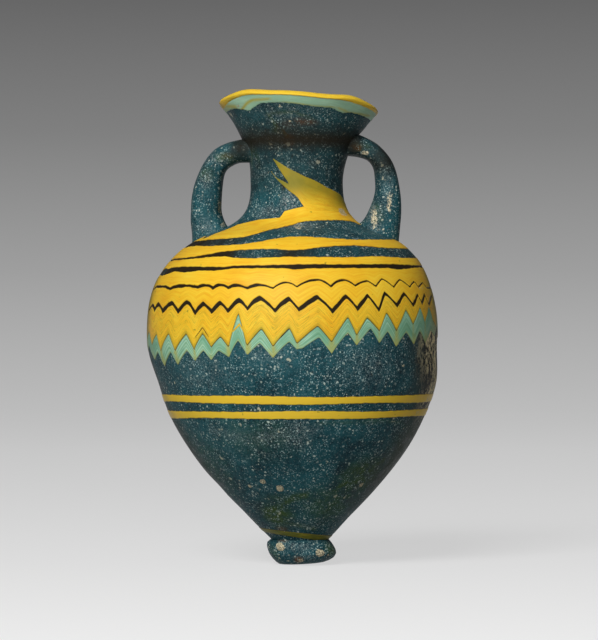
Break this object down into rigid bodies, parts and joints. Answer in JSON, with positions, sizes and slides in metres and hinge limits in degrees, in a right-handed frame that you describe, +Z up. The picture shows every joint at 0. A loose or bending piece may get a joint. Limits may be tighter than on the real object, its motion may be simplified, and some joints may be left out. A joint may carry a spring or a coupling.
{
  "type": "amphoriskos",
  "caption": "Small core-formed glass amphora with a funnel mouth, two strap handles, an egg-shaped belly wound with combed threads, and a base knob.",
  "frame": {"origin": "middle of the base knob's flat underside", "axes": "+Z up through the mouth, -Y towards the front of the picture, +X to the right as seen from the front, so the handles lie along X"},
  "size_m": [0.0482, 0.048, 0.0779],
  "materials": {
    "teal_glass": "satin, opaque, dark blue-green",
    "yellow_glass": "satin, opaque",
    "turquoise_glass": "satin, opaque",
    "olive_glass": "satin, opaque"
  },
  "bodies": {
    "root": {"vessel_body": "teal_glass", "mouth_funnel": "teal_glass", "handle_left": "teal_glass", "handle_right": "teal_glass", "base_knob": "teal_glass", "neck_dab_yellow": "yellow_glass", "trail_yellow": "yellow_glass", "trail_turquoise": "turquoise_glass", "belly_line_upper_yellow": "yellow_glass", "belly_line_lower_yellow": "yellow_glass", "foot_thread_olive": "olive_glass", "rim_thread_turquoise": "turquoise_glass", "rim_thread_yellow": "yellow_glass"}
  },
  "joints": []
}
